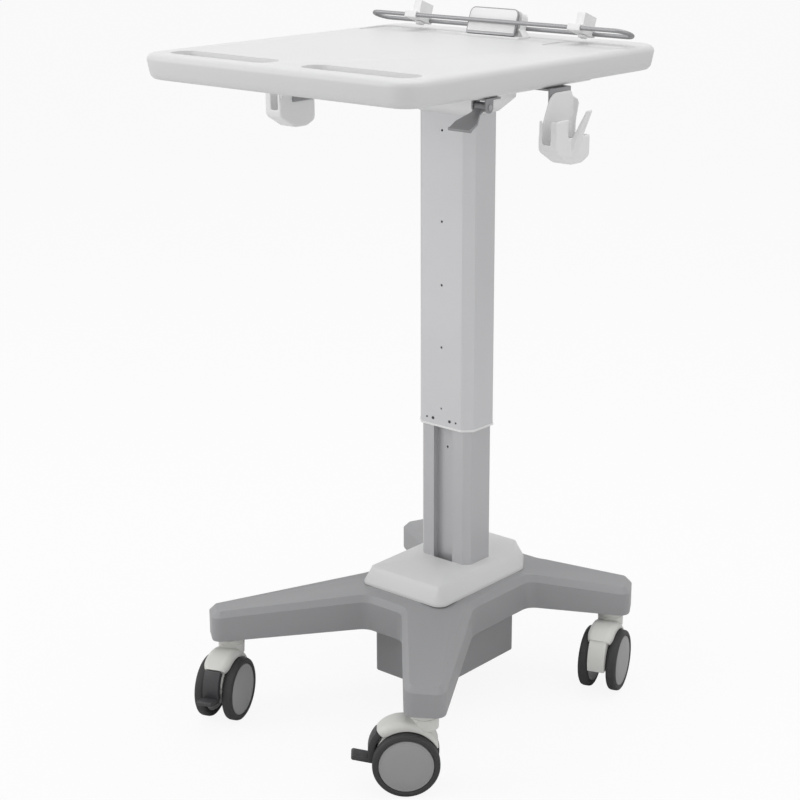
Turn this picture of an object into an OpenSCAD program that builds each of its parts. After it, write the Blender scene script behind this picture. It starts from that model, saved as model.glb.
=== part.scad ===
// Height-adjustable laptop cart for a ward: worktop on a telescopic column, four-leg base,
// twin-wheel casters, laptop retaining bar, two side holders and a release lever.
// Millimetres, +Z up, the user stands on the -Y side. The origin is on the floor, under the
// middle of the cart's bounding box.

/* [Worktop] */
// Width of the worktop at its widest
top_w = 514; // [480:1:540]
// Depth of the worktop from front to back
top_d = 584; // [550:1:610]
// Height of the working surface above the floor
top_h = 1047; // [1010:1:1090]
// Thickness of the worktop at its rim
top_t = 37; // [34:1:42]
// Corner radius of the worktop in plan
top_corner_r = 40; // [34:1:55]
// How far the rim leans in towards its lower edge
top_draft = 15; // [10:1:18]
// Distance of the worktop's centre in front of the base centre
top_forward = 43; // [30:1:55]
// Length of one palm recess along the front edge
palm_l = 197; // [160:1:205]
// Width of one palm recess
palm_w = 43; // [40:1:54]
// Depth of the palm recesses
palm_deep = 8; // [6:0.5:10]
// Length of one pen tray at the back
tray_l = 118; // [80:1:130]
// Width of one pen tray
tray_w = 70; // [40:1:76]

/* [Column] */
// Width of the upper column tube
up_w = 108.6; // [104:0.2:114]
// Depth of the upper column tube
up_d = 76.6; // [74:0.2:82]
// Chamfer at the upper column's corners
up_chamfer = 14.2; // [10:0.2:18]
// Wall of the upper column tube
up_wall = 3; // [2.5:0.1:3]
// Height of the upper column's lower end above the floor
up_z = 450; // [430:1:480]
// Width of the lower column tube
low_w = 100.4; // [97:0.2:100.6]
// Depth of the lower column tube
low_d = 66; // [62:0.2:68]
// Chamfer at the lower column's corners
low_chamfer = 10; // [8:0.2:12]
// Wall of the lower column tube
low_wall = 3; // [2.5:0.1:3.5]
// Width of the channel in the lower column's faces
channel_w = 38.6; // [30:0.2:44]
// Depth of that channel
channel_deep = 11; // [6:0.5:12]
// Height of the lower column's top end above the floor
low_top_z = 765; // [730:1:780]
// Distance of the column's axis behind the base centre
col_back = 80; // [65:1:90]
// Upward travel of the column
lift_up = 200; // [150:10:200]
// Distance between two accessory holes in the column's front
hole_pitch = 100; // [80:1:110]
// Diameter of the accessory holes
hole_d = 4; // [3:0.5:6]

/* [Base] */
// Distance from the middle to the caster stems, sideways
stem_x = 201; // [190:1:215]
// Distance from the middle to the caster stems, front to back
stem_y = 238; // [225:1:250]
// Height of the hub's top face above the floor
hub_z = 192; // [186:1:198]
// Height of the hub's lower edge above the floor
hub_low_z = 136; // [132:1:140]
// How much lower the leg tips' top is than the hub's
tip_drop = 18; // [12:1:22]
// How much lower the leg tips' lower edge is than the hub's
tip_low_drop = 9; // [5:1:12]
// Height of the bevel along the top edges
bevel_h = 9; // [6:0.5:11]
// Wall of the cast base
cast_wall = 6; // [5:0.5:8]
// Height of the hub cover above the hub
cover_h = 29; // [24:1:34]
// Width of the hub cover
cover_w = 168; // [156:1:176]
// Width of the weight box under the hub
box_w = 126; // [110:1:140]
// Depth of the weight box
box_d = 209; // [190:1:214]
// Height of the weight box's floor above the ground
box_z = 42; // [36:1:60]

/* [Casters] */
// Diameter of the caster wheels
wheel_d = 100; // [96:1:104]
// Width of one wheel
wheel_w = 17; // [15:0.5:19]
// Distance between the middles of the two wheels of a caster
wheel_gap = 47; // [45:0.5:52]
// Trail, the distance from the swivel axis to the wheel axle
trail = 28; // [25:1:32]
// Diameter of the swivel neck
neck_d = 42; // [36:1:46]
// Diameter of the pale disc in the wheel
disc_d = 82; // [74:1:86]
// Diameter of the axle
axle_d = 8; // [6:0.5:10]
// Diameter of the swivel stem
stem_d = 11; // [10:0.5:13]

/* [Laptop bracket] */
// Width of the bracket's front plate
plate_w = 93; // [80:1:100]
// Height of the front plate
plate_h = 41.5; // [38:0.5:46]
// Lean of the bracket backwards, in degrees
plate_lean = 20; // [12:1:24]
// Distance of the bracket's front foot in front of the worktop's rear edge
plate_in = 96; // [90:1:110]
// Length of the retaining bar
bar_l = 498; // [440:1:510]
// Diameter of the bar's rod
rod_d = 6.4; // [5:0.2:7]
// Height of the bar above the worktop, along the leaning plate
bar_rise = 24.5; // [23:0.5:27]
// Distance of each clip from the middle
clip_x = 158; // [120:1:175]

/* [Holders] */
// Width of a side holder's pouch
holder_w = 79; // [70:1:84]
// Depth of the pouch from the hanger outwards
holder_deep = 33; // [28:1:38]
// Height of a side holder's back plate
holder_h = 103; // [95:1:108]
// Wall of a side holder
holder_wall = 2.6; // [2:0.1:3]

/* [Lever] */
// Length of the release lever's blade
blade_l = 54; // [44:1:60]
// Width of the blade at its grip end
blade_w = 37; // [30:1:42]
// Angle at which the blade hangs at rest
blade_hang = 28; // [20:1:30]

/* [Hidden] */
$fn = 72;

// Clearances: between pieces that move, a shaft in its bore, and a cutter's overrun
gap = 0.3;
running = 0.1;
over = 1;

// Worktop: shares and steps of its rounded edge, recesses and the pan below it
rim_round = 9;
rim_soft = 3;
rim_low = 0.8 * top_draft;
palm_in = 30;
palm_middle = 60;
palm_corner_r = 20;
tray_side = 17;
tray_back = 63;
tray_corner_r = 14;
tray_deep = 1.5;
pan_t = 3;
pan_side = 6;
pan_from = 85;
pan_to = 144;
pan_corner_r = 20;
top_y = -top_forward;
top_front_y = top_y - top_d / 2;
top_back_y = top_y + top_d / 2;
top_under_z = top_h - top_t;
pan_z = top_under_z - pan_t;
under_w = top_w - 2 * top_draft;

// Column stack
col_y = col_back;
foot_t = 6;
foot_w = 140;
foot_d = 150;
foot_r = 8;
foot_z = hub_z;
low_z = foot_z + foot_t;
cap_h = 10;
cap_plug = 14;
collar_h = 3.5;
collar_lip = 0.9;
bush_h = 45;
plate_t = 6;
up_top_z = pan_z - plate_t;
frame_w = 138;
frame_d = 102;
head_out = 27;
head_more = 2;
head_wall = 3;
head_h = 62;
head_bend = 40;
hole_low = 27.5;
screw_d = 5;
screw_small_d = 3;
screw_head = 0.8;
screw_x_share = 0.155;
screw_small_x_share = 0.27;
screw_shares = [0.37, 0.41, 0.5, 0.7];
spare_hole = 4.4;
low_hole_share = 0.4;

// Gas spring
tube_d = 28;
tube_wall = 1.5;
tube_l = 466;
tube_floor = 6;
guide_h = 14;
rod_spring_d = 10;
piston_h = 10;
piston_z = 430;

// Base outline: the right half of it, from the front middle to the back middle
hub_front = 98;
hub_side = 108;
hub_back = 215;
hub_mid_y = 90;
tip_reach = 32;
tip_w = 60;
front_leg_turn = 52;
back_leg_turn = 30;
drop_from = 100;
drop_to = 225;
tip_fillet = 16;
wall_fillet = 28;
side_fillet = 60;
arc_steps = 3;
flat_w = 90;
flat_front = 156;
flat_back = 114;
flat_most = 0.985;
bolt_d = 8;
bolt_head_d = 13;
bolt_head_h = 4.5;
bolt_in = 16;
boss_d = 38;
waist_share = 0.73;
rear_share = 0.7;
washer_share = 0.7;

// Hub cover
cover_front = 61;
cover_back = 203;
cover_side_y = 152;
cover_edge = 4;
cover_bevel = 12;
cover_bevel_in = 13;
cover_wall = 3;
cover_corner_r = 17;
cover_back_r = 26;
cover_back_share = 0.28;
cover_flat_share = 0.65;

// Weight box
box_front_y = -51;
box_wall = 3;
box_r = 9;
seat_h = 2;
seat_in = 14;
cast_roof = 9;
box_top_z = hub_z - cast_roof;
ballast_h = 70;

// Casters, in the plane of the fork: u along the trail, z up
turn_fl = -69;
turn_fr = -138.5;
turn_bl = -80;
turn_br = -72;
axle_z = wheel_d / 2;
hood_r = 53;
hood_u = trail + 4;
hood_z = axle_z + 12;
hood_w = 42;
hood_gap = 1.2;
hood_end = 185;
neck_foot_z = 75;
lug_share = 0.7;
lip_turn = 43;
web_w = wheel_gap - wheel_w - 2;
skirt_r = 50.5;
skirt_z = 44;
inner_r = 39;
neck_low_z = wheel_d + 1;
washer_h = 0.8;
stem_up = 30;
stem_down = 30;
axle_boss_d = 26;
tyre_soft = 3.5;
soft_out = 0.3;
soft_in = 0.4;
soft_up = 1.4;
disc_dome = 1.2;
hub_bore_floor = 3;
pedal_u = trail + 38;
pedal_z = axle_z + 16;
pedal_pin_d = 4;
lug_r = 5.5;
lug_w = 15;
pad_in_r = 42.5;
pad_out_r = 52;
pad_w = 26;
pad_low = -13;
toe_from = 84;
toe_to = 109;
toe_z = 51;
toe_rise = 5.5;
toe_t = 7;
toe_w = 24;
tip_z = hub_low_z - tip_low_drop;

// Bracket
plate_t_front = 4;
core_t = 8;
core_in = 6;
shell_t = 15;
plate_r = 10;
rim_t = 1.6;
strip_h = 4;
foot_h = 3;
foot_d_bracket = 31;
wing_w = 11;
plate_low = (foot_h + plate_t_front * sin(plate_lean)) / cos(plate_lean);
clip_w = 22;
clip_block_w = 14;
clip_block_h = 21;
clip_block_in = 13;
clip_wrap = 1.6;
knob_d = 14;
knob_h = 4;
knob_stem_d = 6;
knob_stem_l = 3;
knob_s = 20;
bracket_y = top_back_y - plate_in;
rail_front = -(rod_d / 2 + gap);
rail_back = plate_t_front + core_t + shell_t + gap + rod_d / 2;
rail_mid = (rail_front + rail_back) / 2;
rail_r = (rail_back - rail_front) / 2;

// Holders: y and z of the pouch as steps from the hanger's middle and the pan
holder_y = -12;
hanger_x = top_w / 2 - 9;
hanger_w = 50;
hanger_t = 3;
hanger_in = 40;
hanger_h = 62;
hanger_off = 12;
holder_t = 3;
arch_r = 22;
pouch_top = 39;
pouch_cut = 26;
finger_w = 14;
finger_out = 23;
finger_top = 24;
finger_t = 3;
ear_out = 11;
pouch_corner_r = 4;
slot_from = 7;
slot_deep = 34;
slot_w = 14;
slot_in = 12;
cut_from = -12;
back_top = 4;
back_arch = 62;
low_right = 95;
low_left = 83;
low_x_left = -6;
low_x_right = 22;
ear_low = 62;
ear_high = 23;
ear_top = 13;
finger_low = 98;
finger_bend = 84;
finger_root = 70;

// Lever
lever_y = -152;
lever_x = 229;
lever_drop = 12;
lever_hub_d = 13;
lever_hub_w = 20;
cheek_t = 2.5;
cheek_r = 8;
pin_d = 5;
pin_head_d = 8;
blade_t = 3;
blade_neck = 15;
blade_lip = 5;
blade_from = 0.3;
blade_full = 0.7;
lever_z = pan_z - lever_drop;

// Vectors and outlines
function unit(v) = v / norm(v);
function xy(p) = [p.x, p.y];
function corner(p, q, s, r, n) =
    let(
        a = unit(p - q),
        b = unit(s - q),
        half = acos(a * b) / 2,
        c = q + unit(a + b) * r / sin(half),
        u = q + a * r / tan(half) - c,
        v = q + b * r / tan(half) - c,
        a0 = atan2(u.y, u.x),
        turn = ((atan2(v.y, v.x) - a0 + 540) % 360) - 180
    )
    [for (i = [0:n]) c + r * [cos(a0 + turn * i / n), sin(a0 + turn * i / n)]];
function rounded(pts, n) = [
    for (i = [0:len(pts) - 1])
        each corner(xy(pts[(i + len(pts) - 1) % len(pts)]), xy(pts[i]),
                    xy(pts[(i + 1) % len(pts)]), pts[i][2], n)
];
function inset(pts, d) = [
    for (i = [0:len(pts) - 1])
        let(t = unit(pts[(i + 1) % len(pts)] - pts[(i + len(pts) - 1) % len(pts)]))
        pts[i] + d * [-t.y, t.x]
];
function flat_ring(pts, z) = [for (p = pts) [p.x, p.y, z]];
function clipped(pts, c) = [
    for (p = pts)
        let(v = p - c)
        c + v * min(flat_most, 1 / norm([v.x / flat_w, v.y / (v.y < 0 ? flat_front : flat_back)]))
];
function mirrored(half) = concat(half, [for (i = [len(half) - 1:-1:0]) [-half[i].x, half[i].y, half[i].z]]);
function box_points(w, d, r) = [[w / 2, -d / 2, r], [w / 2, d / 2, r], [-w / 2, d / 2, r], [-w / 2, -d / 2, r]];
function chamfered(w, d, c) = [
    [w / 2 - c, -d / 2], [w / 2, -d / 2 + c], [w / 2, d / 2 - c], [w / 2 - c, d / 2],
    [-w / 2 + c, d / 2], [-w / 2, d / 2 - c], [-w / 2, -d / 2 + c], [-w / 2 + c, -d / 2]
];
function channelled(w, d, c, cw, cd) = [
    [cw / 2, -d / 2], [w / 2 - c, -d / 2], [w / 2, -d / 2 + c], [w / 2, d / 2 - c], [w / 2 - c, d / 2],
    [cw / 2, d / 2], [cw / 2, d / 2 - cd], [-cw / 2, d / 2 - cd], [-cw / 2, d / 2],
    [-w / 2 + c, d / 2], [-w / 2, d / 2 - c], [-w / 2, -d / 2 + c], [-w / 2 + c, -d / 2],
    [-cw / 2, -d / 2], [-cw / 2, -d / 2 + cd], [cw / 2, -d / 2 + cd]
];

// A closed skin through rings of equal length, from the top ring down, flat on the first and the last
module loft(rings) {
    n = len(rings[0]);
    m = len(rings);
    polyhedron(
        points = [for (r = rings) each r],
        faces = concat(
            [[for (i = [n - 1:-1:0]) i]],
            [for (k = [0:m - 2], i = [0:n - 1]) [k * n + i, (k + 1) * n + (i + 1) % n, (k + 1) * n + i]],
            [for (k = [0:m - 2], i = [0:n - 1]) [k * n + i, k * n + (i + 1) % n, (k + 1) * n + (i + 1) % n]],
            [[for (i = [0:n - 1]) (m - 1) * n + i]]
        ),
        convexity = 8
    );
}
module slab(w, d, h, r) {
    linear_extrude(h) {
        square([w - 2 * r, d], center = true);
        square([w, d - 2 * r], center = true);
        for (sx = [-1, 1], sy = [-1, 1]) translate([sx * (w / 2 - r), sy * (d / 2 - r)]) circle(r);
    }
}
module along_x(w) {
    rotate([90, 0, 90]) translate([0, 0, -w / 2]) linear_extrude(w) children();
}
module rod_x(d, l) {
    rotate([0, 90, 0]) cylinder(d = d, h = l, center = true);
}

// Outline of the base
function leg_tip(side, turn) =
    let(
        axis = [cos(turn), side * sin(turn)],
        across = [-axis.y, axis.x],
        tip = [stem_x, side * stem_y] + axis * tip_reach
    )
    [tip - across * tip_w / 2, tip + across * tip_w / 2];
front_tip = leg_tip(-1, front_leg_turn);
back_tip = leg_tip(1, back_leg_turn);
base_half = [
    [hub_side / 3, -hub_front, wall_fillet],
    [front_tip[0].x, front_tip[0].y, tip_fillet],
    [front_tip[1].x, front_tip[1].y, tip_fillet],
    [hub_side, -hub_front / 10, side_fillet],
    [hub_side, hub_back - hub_side * waist_share, wall_fillet],
    [back_tip[0].x, back_tip[0].y, tip_fillet],
    [back_tip[1].x, back_tip[1].y, tip_fillet],
    [hub_side * rear_share, hub_back, wall_fillet]
];
base_line = rounded(mirrored(base_half), arc_steps);
hub_mid = [0, hub_mid_y];
function drop_at(x) = min(max((abs(x) - drop_from) / (drop_to - drop_from), 0), 1);
function base_ring(pts, high, low, up) = [
    for (p = pts)
        let(f = drop_at(p.x), top = hub_z - tip_drop * f, bottom = hub_low_z - tip_low_drop * f)
        [p.x, p.y, bottom * low + top * high + up]
];

// The middle of the cart in plan, which the origin sits under
toe_turn = atan(toe_rise / (toe_to - toe_from));
toe_reach = toe_from + (toe_to - toe_from - toe_t / 2) * cos(toe_turn) + toe_t / 2;
toe_front_y = -stem_y + toe_reach * sin(turn_fl) - toe_w / 2 * cos(turn_fl);
front_y = min(top_front_y, toe_front_y);
mid_y = (front_y + max([for (p = base_line) p.y])) / 2;
module stand() {
    translate([0, -mid_y, 0]) children();
}

// Base
module stem_places() {
    for (sx = [-1, 1], sy = [-1, 1]) translate([sx * stem_x, sy * stem_y, tip_z]) children();
}
module foot_bolt_places() {
    for (sx = [-1, 1], sy = [-1, 1])
        translate([sx * (foot_w / 2 - bolt_in), col_y + sy * (foot_d / 2 - bolt_in), 0]) children();
}
module base_casting() {
    top_in = inset(base_line, bevel_h);
    inner = inset(base_line, cast_wall);
    roof = inset(base_line, cast_wall + bevel_h);
    color("#8f8f91") stand() difference() {
        union() {
            loft([
                base_ring(clipped(top_in, hub_mid), 1, 0, 0),
                base_ring(top_in, 1, 0, 0),
                base_ring(base_line, 1, 0, -bevel_h),
                base_ring(base_line, 0, 1, rim_soft),
                base_ring(inset(base_line, rim_soft / 2), 0, 1, 0),
                base_ring(inner, 0, 1, 0),
                base_ring(inner, 1, 0, -bevel_h - cast_wall),
                base_ring(roof, 1, 0, -cast_roof),
                base_ring(clipped(roof, hub_mid), 1, 0, -cast_roof)
            ]);
            stem_places() cylinder(d = boss_d, h = hub_z - tip_drop - over - tip_z);
        }
        stem_places() translate([0, 0, -over]) cylinder(d = stem_d, h = stem_up + 2 * over);
        foot_bolt_places() translate([0, 0, hub_z - cast_roof - over])
            cylinder(d = bolt_d, h = cast_roof + 2 * over);
    }
}
module hub_cover() {
    line = rounded([
        [cover_w / 2, -cover_front, cover_corner_r], [cover_w / 2, cover_side_y, cover_back_r],
        [cover_w * cover_back_share, cover_back, cover_back_r],
        [-cover_w * cover_back_share, cover_back, cover_back_r],
        [-cover_w / 2, cover_side_y, cover_back_r], [-cover_w / 2, -cover_front, cover_corner_r]
    ], arc_steps);
    rise = inset(line, cover_bevel_in);
    thin = inset(line, cover_wall);
    thin_rise = inset(line, cover_bevel_in + cover_wall / 3);
    hole = [0, col_y];
    near = [for (p = rise) hole + (p - hole) * cover_flat_share];
    thin_near = [for (p = thin_rise) hole + (p - hole) * cover_flat_share];
    z1 = hub_z + cover_edge;
    z2 = z1 + cover_bevel;
    z3 = hub_z + cover_h;
    color("#cfcfcf") stand() difference() {
        loft([
            flat_ring(near, z3), flat_ring(rise, z2), flat_ring(line, z1), flat_ring(line, hub_z),
            flat_ring(thin, hub_z), flat_ring(thin, z1 - cover_wall / 2),
            flat_ring(thin_rise, z2 - cover_wall), flat_ring(thin_near, z3 - cover_wall)
        ]);
        translate([0, col_y, hub_z]) linear_extrude(cover_h + over)
            polygon(channelled(low_w + 2 * gap, low_d + 2 * gap, low_chamfer, channel_w - 2 * gap, channel_deep));
    }
}
module weight_box() {
    color("#7f7f81") stand() translate([0, box_front_y + box_d / 2, box_z]) difference() {
        union() {
            slab(box_w, box_d, box_top_z - box_z - seat_h, box_r);
            slab(box_w - 2 * seat_in, box_d - 2 * seat_in, box_top_z - box_z, box_r);
        }
        translate([0, 0, box_wall]) slab(
            box_w - 2 * box_wall, box_d - 2 * box_wall, box_top_z - box_z - seat_h - 2 * box_wall, box_r - box_wall
        );
    }
}
module ballast_block() {
    color("#5a5a5c") stand() translate([0, box_front_y + box_d / 2, box_z + box_wall])
        slab(box_w - 2 * box_wall - 2 * gap, box_d - 2 * box_wall - 2 * gap, ballast_h, box_r - box_wall);
}
module foot_plate() {
    color("#9a9a9c") stand() difference() {
        translate([0, col_y, foot_z]) slab(foot_w, foot_d, foot_t, foot_r);
        foot_bolt_places() translate([0, 0, foot_z - over]) cylinder(d = bolt_d, h = foot_t + 2 * over);
    }
}
module foot_bolts() {
    color("#6f6f71") stand() foot_bolt_places() {
        translate([0, 0, low_z]) cylinder(d = bolt_head_d, h = bolt_head_h);
        translate([0, 0, hub_z - cast_roof]) cylinder(d = bolt_d, h = cast_roof + foot_t + bolt_head_h / 2);
    }
}
module caster_stems() {
    color("#b9b9bb") stand() stem_places() {
        translate([0, 0, -stem_down]) cylinder(d = stem_d, h = stem_down + stem_up);
        translate([0, 0, -washer_h]) cylinder(d = neck_d * washer_share, h = washer_h);
    }
}

// Fixed part of the column
module low_profile_inner() {
    polygon(channelled(low_w - 2 * low_wall, low_d - 2 * low_wall, low_chamfer - low_wall / 2,
        channel_w + 2 * low_wall, channel_deep));
}
module lower_column() {
    color("#a8a8aa") stand() translate([0, col_y, low_z]) difference() {
        linear_extrude(low_top_z - low_z) difference() {
            polygon(channelled(low_w, low_d, low_chamfer, channel_w, channel_deep));
            low_profile_inner();
        }
        translate([0, -low_d / 2, up_z - hole_pitch * low_hole_share - low_z]) rotate([90, 0, 0])
            cylinder(d = hole_d, h = 2 * channel_deep + 2 * low_wall, center = true);
    }
}
module lower_column_cap() {
    in_w = up_w - 2 * up_wall - 2 * gap;
    in_d = up_d - 2 * up_wall - 2 * gap;
    color("#3c3c3e") stand() translate([0, col_y, low_top_z]) difference() {
        union() {
            linear_extrude(cap_h) polygon(chamfered(in_w, in_d, up_chamfer - up_wall / 2));
            translate([0, 0, -cap_plug]) linear_extrude(cap_plug + cap_h / 2) low_profile_inner();
        }
        translate([0, 0, -cap_plug - over])
            cylinder(d = rod_spring_d + 4 * gap, h = cap_h + cap_plug + 2 * over);
    }
}
module gas_spring_tube() {
    color("#2e2e30") stand() translate([0, col_y, low_z]) difference() {
        cylinder(d = tube_d, h = tube_l);
        translate([0, 0, tube_floor]) cylinder(d = tube_d - 2 * tube_wall, h = tube_l - tube_floor - guide_h);
        translate([0, 0, tube_l - guide_h - over]) cylinder(d = rod_spring_d + 2 * running, h = guide_h + 2 * over);
    }
}

// Lifting part of the column
module gas_spring_rod() {
    color("#d8d8da") stand() translate([0, col_y, piston_z]) {
        cylinder(d = rod_spring_d, h = up_top_z - piston_z);
        cylinder(d = tube_d - 2 * tube_wall - 2 * running, h = piston_h);
    }
}
module up_profile_inner() {
    polygon(chamfered(up_w - 2 * up_wall, up_d - 2 * up_wall, up_chamfer - up_wall / 2));
}
module upper_column() {
    color("#bcbcbe") stand() translate([0, col_y, up_z]) difference() {
        linear_extrude(up_top_z - up_z) difference() {
            polygon(chamfered(up_w, up_d, up_chamfer));
            up_profile_inner();
        }
        for (i = [0, 1, 2, 3, spare_hole]) translate([0, -up_d / 2, hole_low + i * hole_pitch]) rotate([90, 0, 0])
            cylinder(d = hole_d, h = 3 * up_wall, center = true);
    }
}
module column_collar() {
    color("#d6d6d6") stand() translate([0, col_y, up_z - collar_h]) linear_extrude(collar_h) difference() {
        polygon(chamfered(up_w + 2 * collar_lip, up_d + 2 * collar_lip, up_chamfer));
        polygon(chamfered(low_w + 4 * gap, low_d + 4 * gap, low_chamfer));
    }
}
module glide_bush() {
    color("#e4e4e0") stand() translate([0, col_y, up_z]) linear_extrude(bush_h) difference() {
        up_profile_inner();
        polygon(chamfered(low_w + 2 * gap, low_d + 2 * gap, low_chamfer));
    }
}
module fixing_screws() {
    color("#6a6a6c") stand() {
        translate([0, col_y - up_d / 2, up_z + hole_low / 3]) rotate([90, 0, 0]) {
            for (s = [-1, 1]) translate([s * up_w * screw_x_share, 0, 0]) cylinder(d = screw_d, h = screw_head);
            for (s = [-1, 1]) translate([s * up_w * screw_small_x_share, 0, 0]) cylinder(d = screw_small_d, h = screw_head);
        }
        for (s = [-1, 1], share = screw_shares)
            translate([s * (under_w / 2 - pan_side - 2 * screw_d), top_front_y + share * top_d, pan_z - 2 * screw_head])
                cylinder(d = screw_d, h = 2 * screw_head);
    }
}
module support_frame() {
    color("#8a8a8c") stand() translate([0, col_y, up_top_z]) slab(frame_w, frame_d, plate_t, foot_r);
}
module head_cover() {
    lip = 2 * gap;
    function line(out, z) = flat_ring(chamfered(up_w + 2 * out, up_d + 2 * out, up_chamfer + out / 2), z);
    color("#d2d2d2") stand() translate([0, col_y, 0]) difference() {
        loft([
            line(head_out + head_more, pan_z), line(head_out, pan_z - head_bend),
            line(head_wall + lip, pan_z - head_h), line(lip, pan_z - head_h)
        ]);
        loft([
            line(head_out + head_more - head_wall, pan_z + over), line(head_out - head_wall, pan_z - head_bend + head_wall),
            line(lip, pan_z - head_h + head_wall), line(gap, pan_z - head_h - over)
        ]);
    }
}

// Worktop
module underside_pan() {
    d = top_d - pan_from - pan_to;
    color("#cacaca") stand() translate([0, top_front_y + pan_from + d / 2, pan_z])
        slab(under_w - 2 * pan_side, d, pan_t, pan_corner_r);
}
module worktop() {
    line = rounded(box_points(top_w, top_d, top_corner_r), 8);
    function rim(turn) = flat_ring(inset(line, rim_round * (1 - cos(turn))), top_h - rim_round * (1 - sin(turn)));
    function low(turn) = flat_ring(
        inset(line, top_draft - rim_low * cos(turn)), top_under_z + rim_low * (1 - sin(turn))
    );
    color("#e6e6e6") stand() difference() {
        translate([0, top_y, 0]) loft([
            rim(90), rim(60), rim(30), rim(0), low(0), low(30), low(60), low(90)
        ]);
        for (s = [-1, 1]) {
            translate([s * (palm_middle + palm_l) / 2, top_front_y + palm_in + palm_w / 2, top_h - palm_deep])
                slab(palm_l, palm_w, palm_deep + over, palm_corner_r);
            translate([s * (top_w / 2 - tray_side - tray_l / 2), top_back_y - tray_back - tray_w / 2, top_h - tray_deep])
                slab(tray_l, tray_w, tray_deep + over, tray_corner_r);
        }
    }
}

// Release lever
module lever_bracket() {
    in_w = lever_hub_w + 2 * gap;
    color("#c4c4c6") stand() translate([lever_x, lever_y, lever_z]) {
        translate([0, cheek_r, lever_drop - cheek_t / 2])
            cube([in_w + 2 * cheek_t, 4 * cheek_r, cheek_t], center = true);
        for (s = [-1, 1]) translate([s * (in_w + cheek_t) / 2, 0, 0]) difference() {
            along_x(cheek_t) {
                circle(cheek_r);
                translate([-cheek_r, 0]) square([2 * cheek_r, lever_drop - cheek_t / 2]);
            }
            rod_x(pin_d, cheek_t + 2 * over);
        }
    }
}
module lever_pin() {
    l = lever_hub_w + 2 * gap + 2 * cheek_t;
    color("#8c8c8e") stand() translate([lever_x, lever_y, lever_z]) {
        rod_x(pin_d, l);
        translate([l / 2 + cheek_t / 4, 0, 0]) rod_x(pin_head_d, cheek_t / 2);
    }
}
module release_lever() {
    color("#b4b4b6") stand() translate([lever_x, lever_y, lever_z]) rotate([blade_hang, 0, 0]) difference() {
        union() {
            rod_x(lever_hub_d, lever_hub_w);
            translate([0, 0, -blade_t / 2]) linear_extrude(blade_t) polygon([
                [-blade_neck / 2, 0], [-blade_neck / 2, -blade_l * blade_from], [-blade_w / 2, -blade_l * blade_full],
                [-blade_w / 2, -blade_l], [blade_w / 2, -blade_l], [blade_w / 2, -blade_l * blade_full],
                [blade_neck / 2, -blade_l * blade_from], [blade_neck / 2, 0]
            ]);
            translate([0, -blade_l, 0]) rod_x(blade_lip, blade_w);
        }
        rod_x(pin_d + 2 * running, lever_hub_w + 2 * over);
    }
}

// Laptop bracket, in the leaning frame: x across, y through it, z up along the plate
module lean() {
    stand() translate([0, bracket_y, top_h]) rotate([-plate_lean, 0, 0]) children();
}
module plate_shape(d, low) {
    polygon(rounded([
        [plate_w / 2 - d, low, rim_t], [plate_w / 2 - d, plate_low + plate_h - d, plate_r - d],
        [-plate_w / 2 + d, plate_low + plate_h - d, plate_r - d], [-plate_w / 2 + d, low, rim_t]
    ], 8));
}
module upright(from, t) {
    translate([0, from + t, 0]) rotate([90, 0, 0]) linear_extrude(t) children();
}
module above_foot() {
    difference() {
        children();
        stand() translate([-plate_w, bracket_y - plate_w, top_h + foot_h - plate_w])
            cube([2 * plate_w, 2 * plate_w, plate_w]);
    }
}
module bracket_plate() {
    color("#e8e8e8") lean() upright(0, plate_t_front) plate_shape(rim_t, plate_low + strip_h);
}
module bracket_rim() {
    color("#8f8f91") lean() upright(0, plate_t_front) difference() {
        plate_shape(0, plate_low);
        plate_shape(rim_t, plate_low + strip_h);
    }
}
module bracket_core() {
    color("#3a3a3c") above_foot() lean() upright(plate_t_front, core_t)
        translate([-plate_w / 2 + core_in, 0]) square([plate_w - 2 * core_in, plate_low + plate_h - core_in]);
}
module bracket_shell() {
    color("#dedede") {
        above_foot() lean() upright(plate_t_front + core_t, shell_t) plate_shape(0, -plate_low);
        stand() translate([0, bracket_y, top_h]) {
            translate([0, foot_d_bracket / 2, 0]) slab(plate_w + 2 * wing_w, foot_d_bracket, foot_h, foot_h);
            for (s = [0, 1]) mirror([s, 0, 0]) translate([plate_w / 2, foot_d_bracket, foot_h]) rotate([90, 0, 0])
                linear_extrude(foot_d_bracket / 2) polygon([[-rim_t, 0], [wing_w - foot_h, 0], [-rim_t, wing_w]]);
        }
    }
}

// Retaining bar and its two clips, in the leaning frame
module retaining_bar() {
    l = bar_l - 2 * rail_r - rod_d;
    color("#a2a2a4") lean() translate([0, 0, bar_rise]) {
        for (y = [rail_front, rail_back]) translate([0, y, 0]) rod_x(rod_d, l);
        for (s = [-1, 1]) translate([s * l / 2, rail_mid, 0]) rotate([0, 0, -s * 90])
            rotate_extrude(angle = 180) translate([rail_r, 0]) circle(d = rod_d);
    }
}
clip_front = rail_front - rod_d / 2 - clip_wrap;
clip_back = rail_back + rod_d / 2 + clip_wrap;
clip_low = -rod_d / 2 - clip_wrap;
module clip(side) {
    color("#e0e0e0") lean() translate([side * clip_x, 0, bar_rise]) difference() {
        union() {
            translate([-clip_w / 2, clip_front, clip_low]) cube([clip_w, clip_back - clip_front, -2 * clip_low]);
            translate([-clip_block_w / 2, clip_front + clip_block_in, -clip_low - over])
                cube([clip_block_w, clip_back - clip_front - clip_block_in, clip_block_h + over]);
        }
        for (y = [rail_front, rail_back]) translate([0, y, 0]) rod_x(rod_d + 2 * running, clip_w + 2 * over);
        translate([0, knob_s, clip_low - over]) cylinder(d = knob_stem_d + 2 * running, h = knob_stem_l + gap + over);
    }
}
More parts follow.
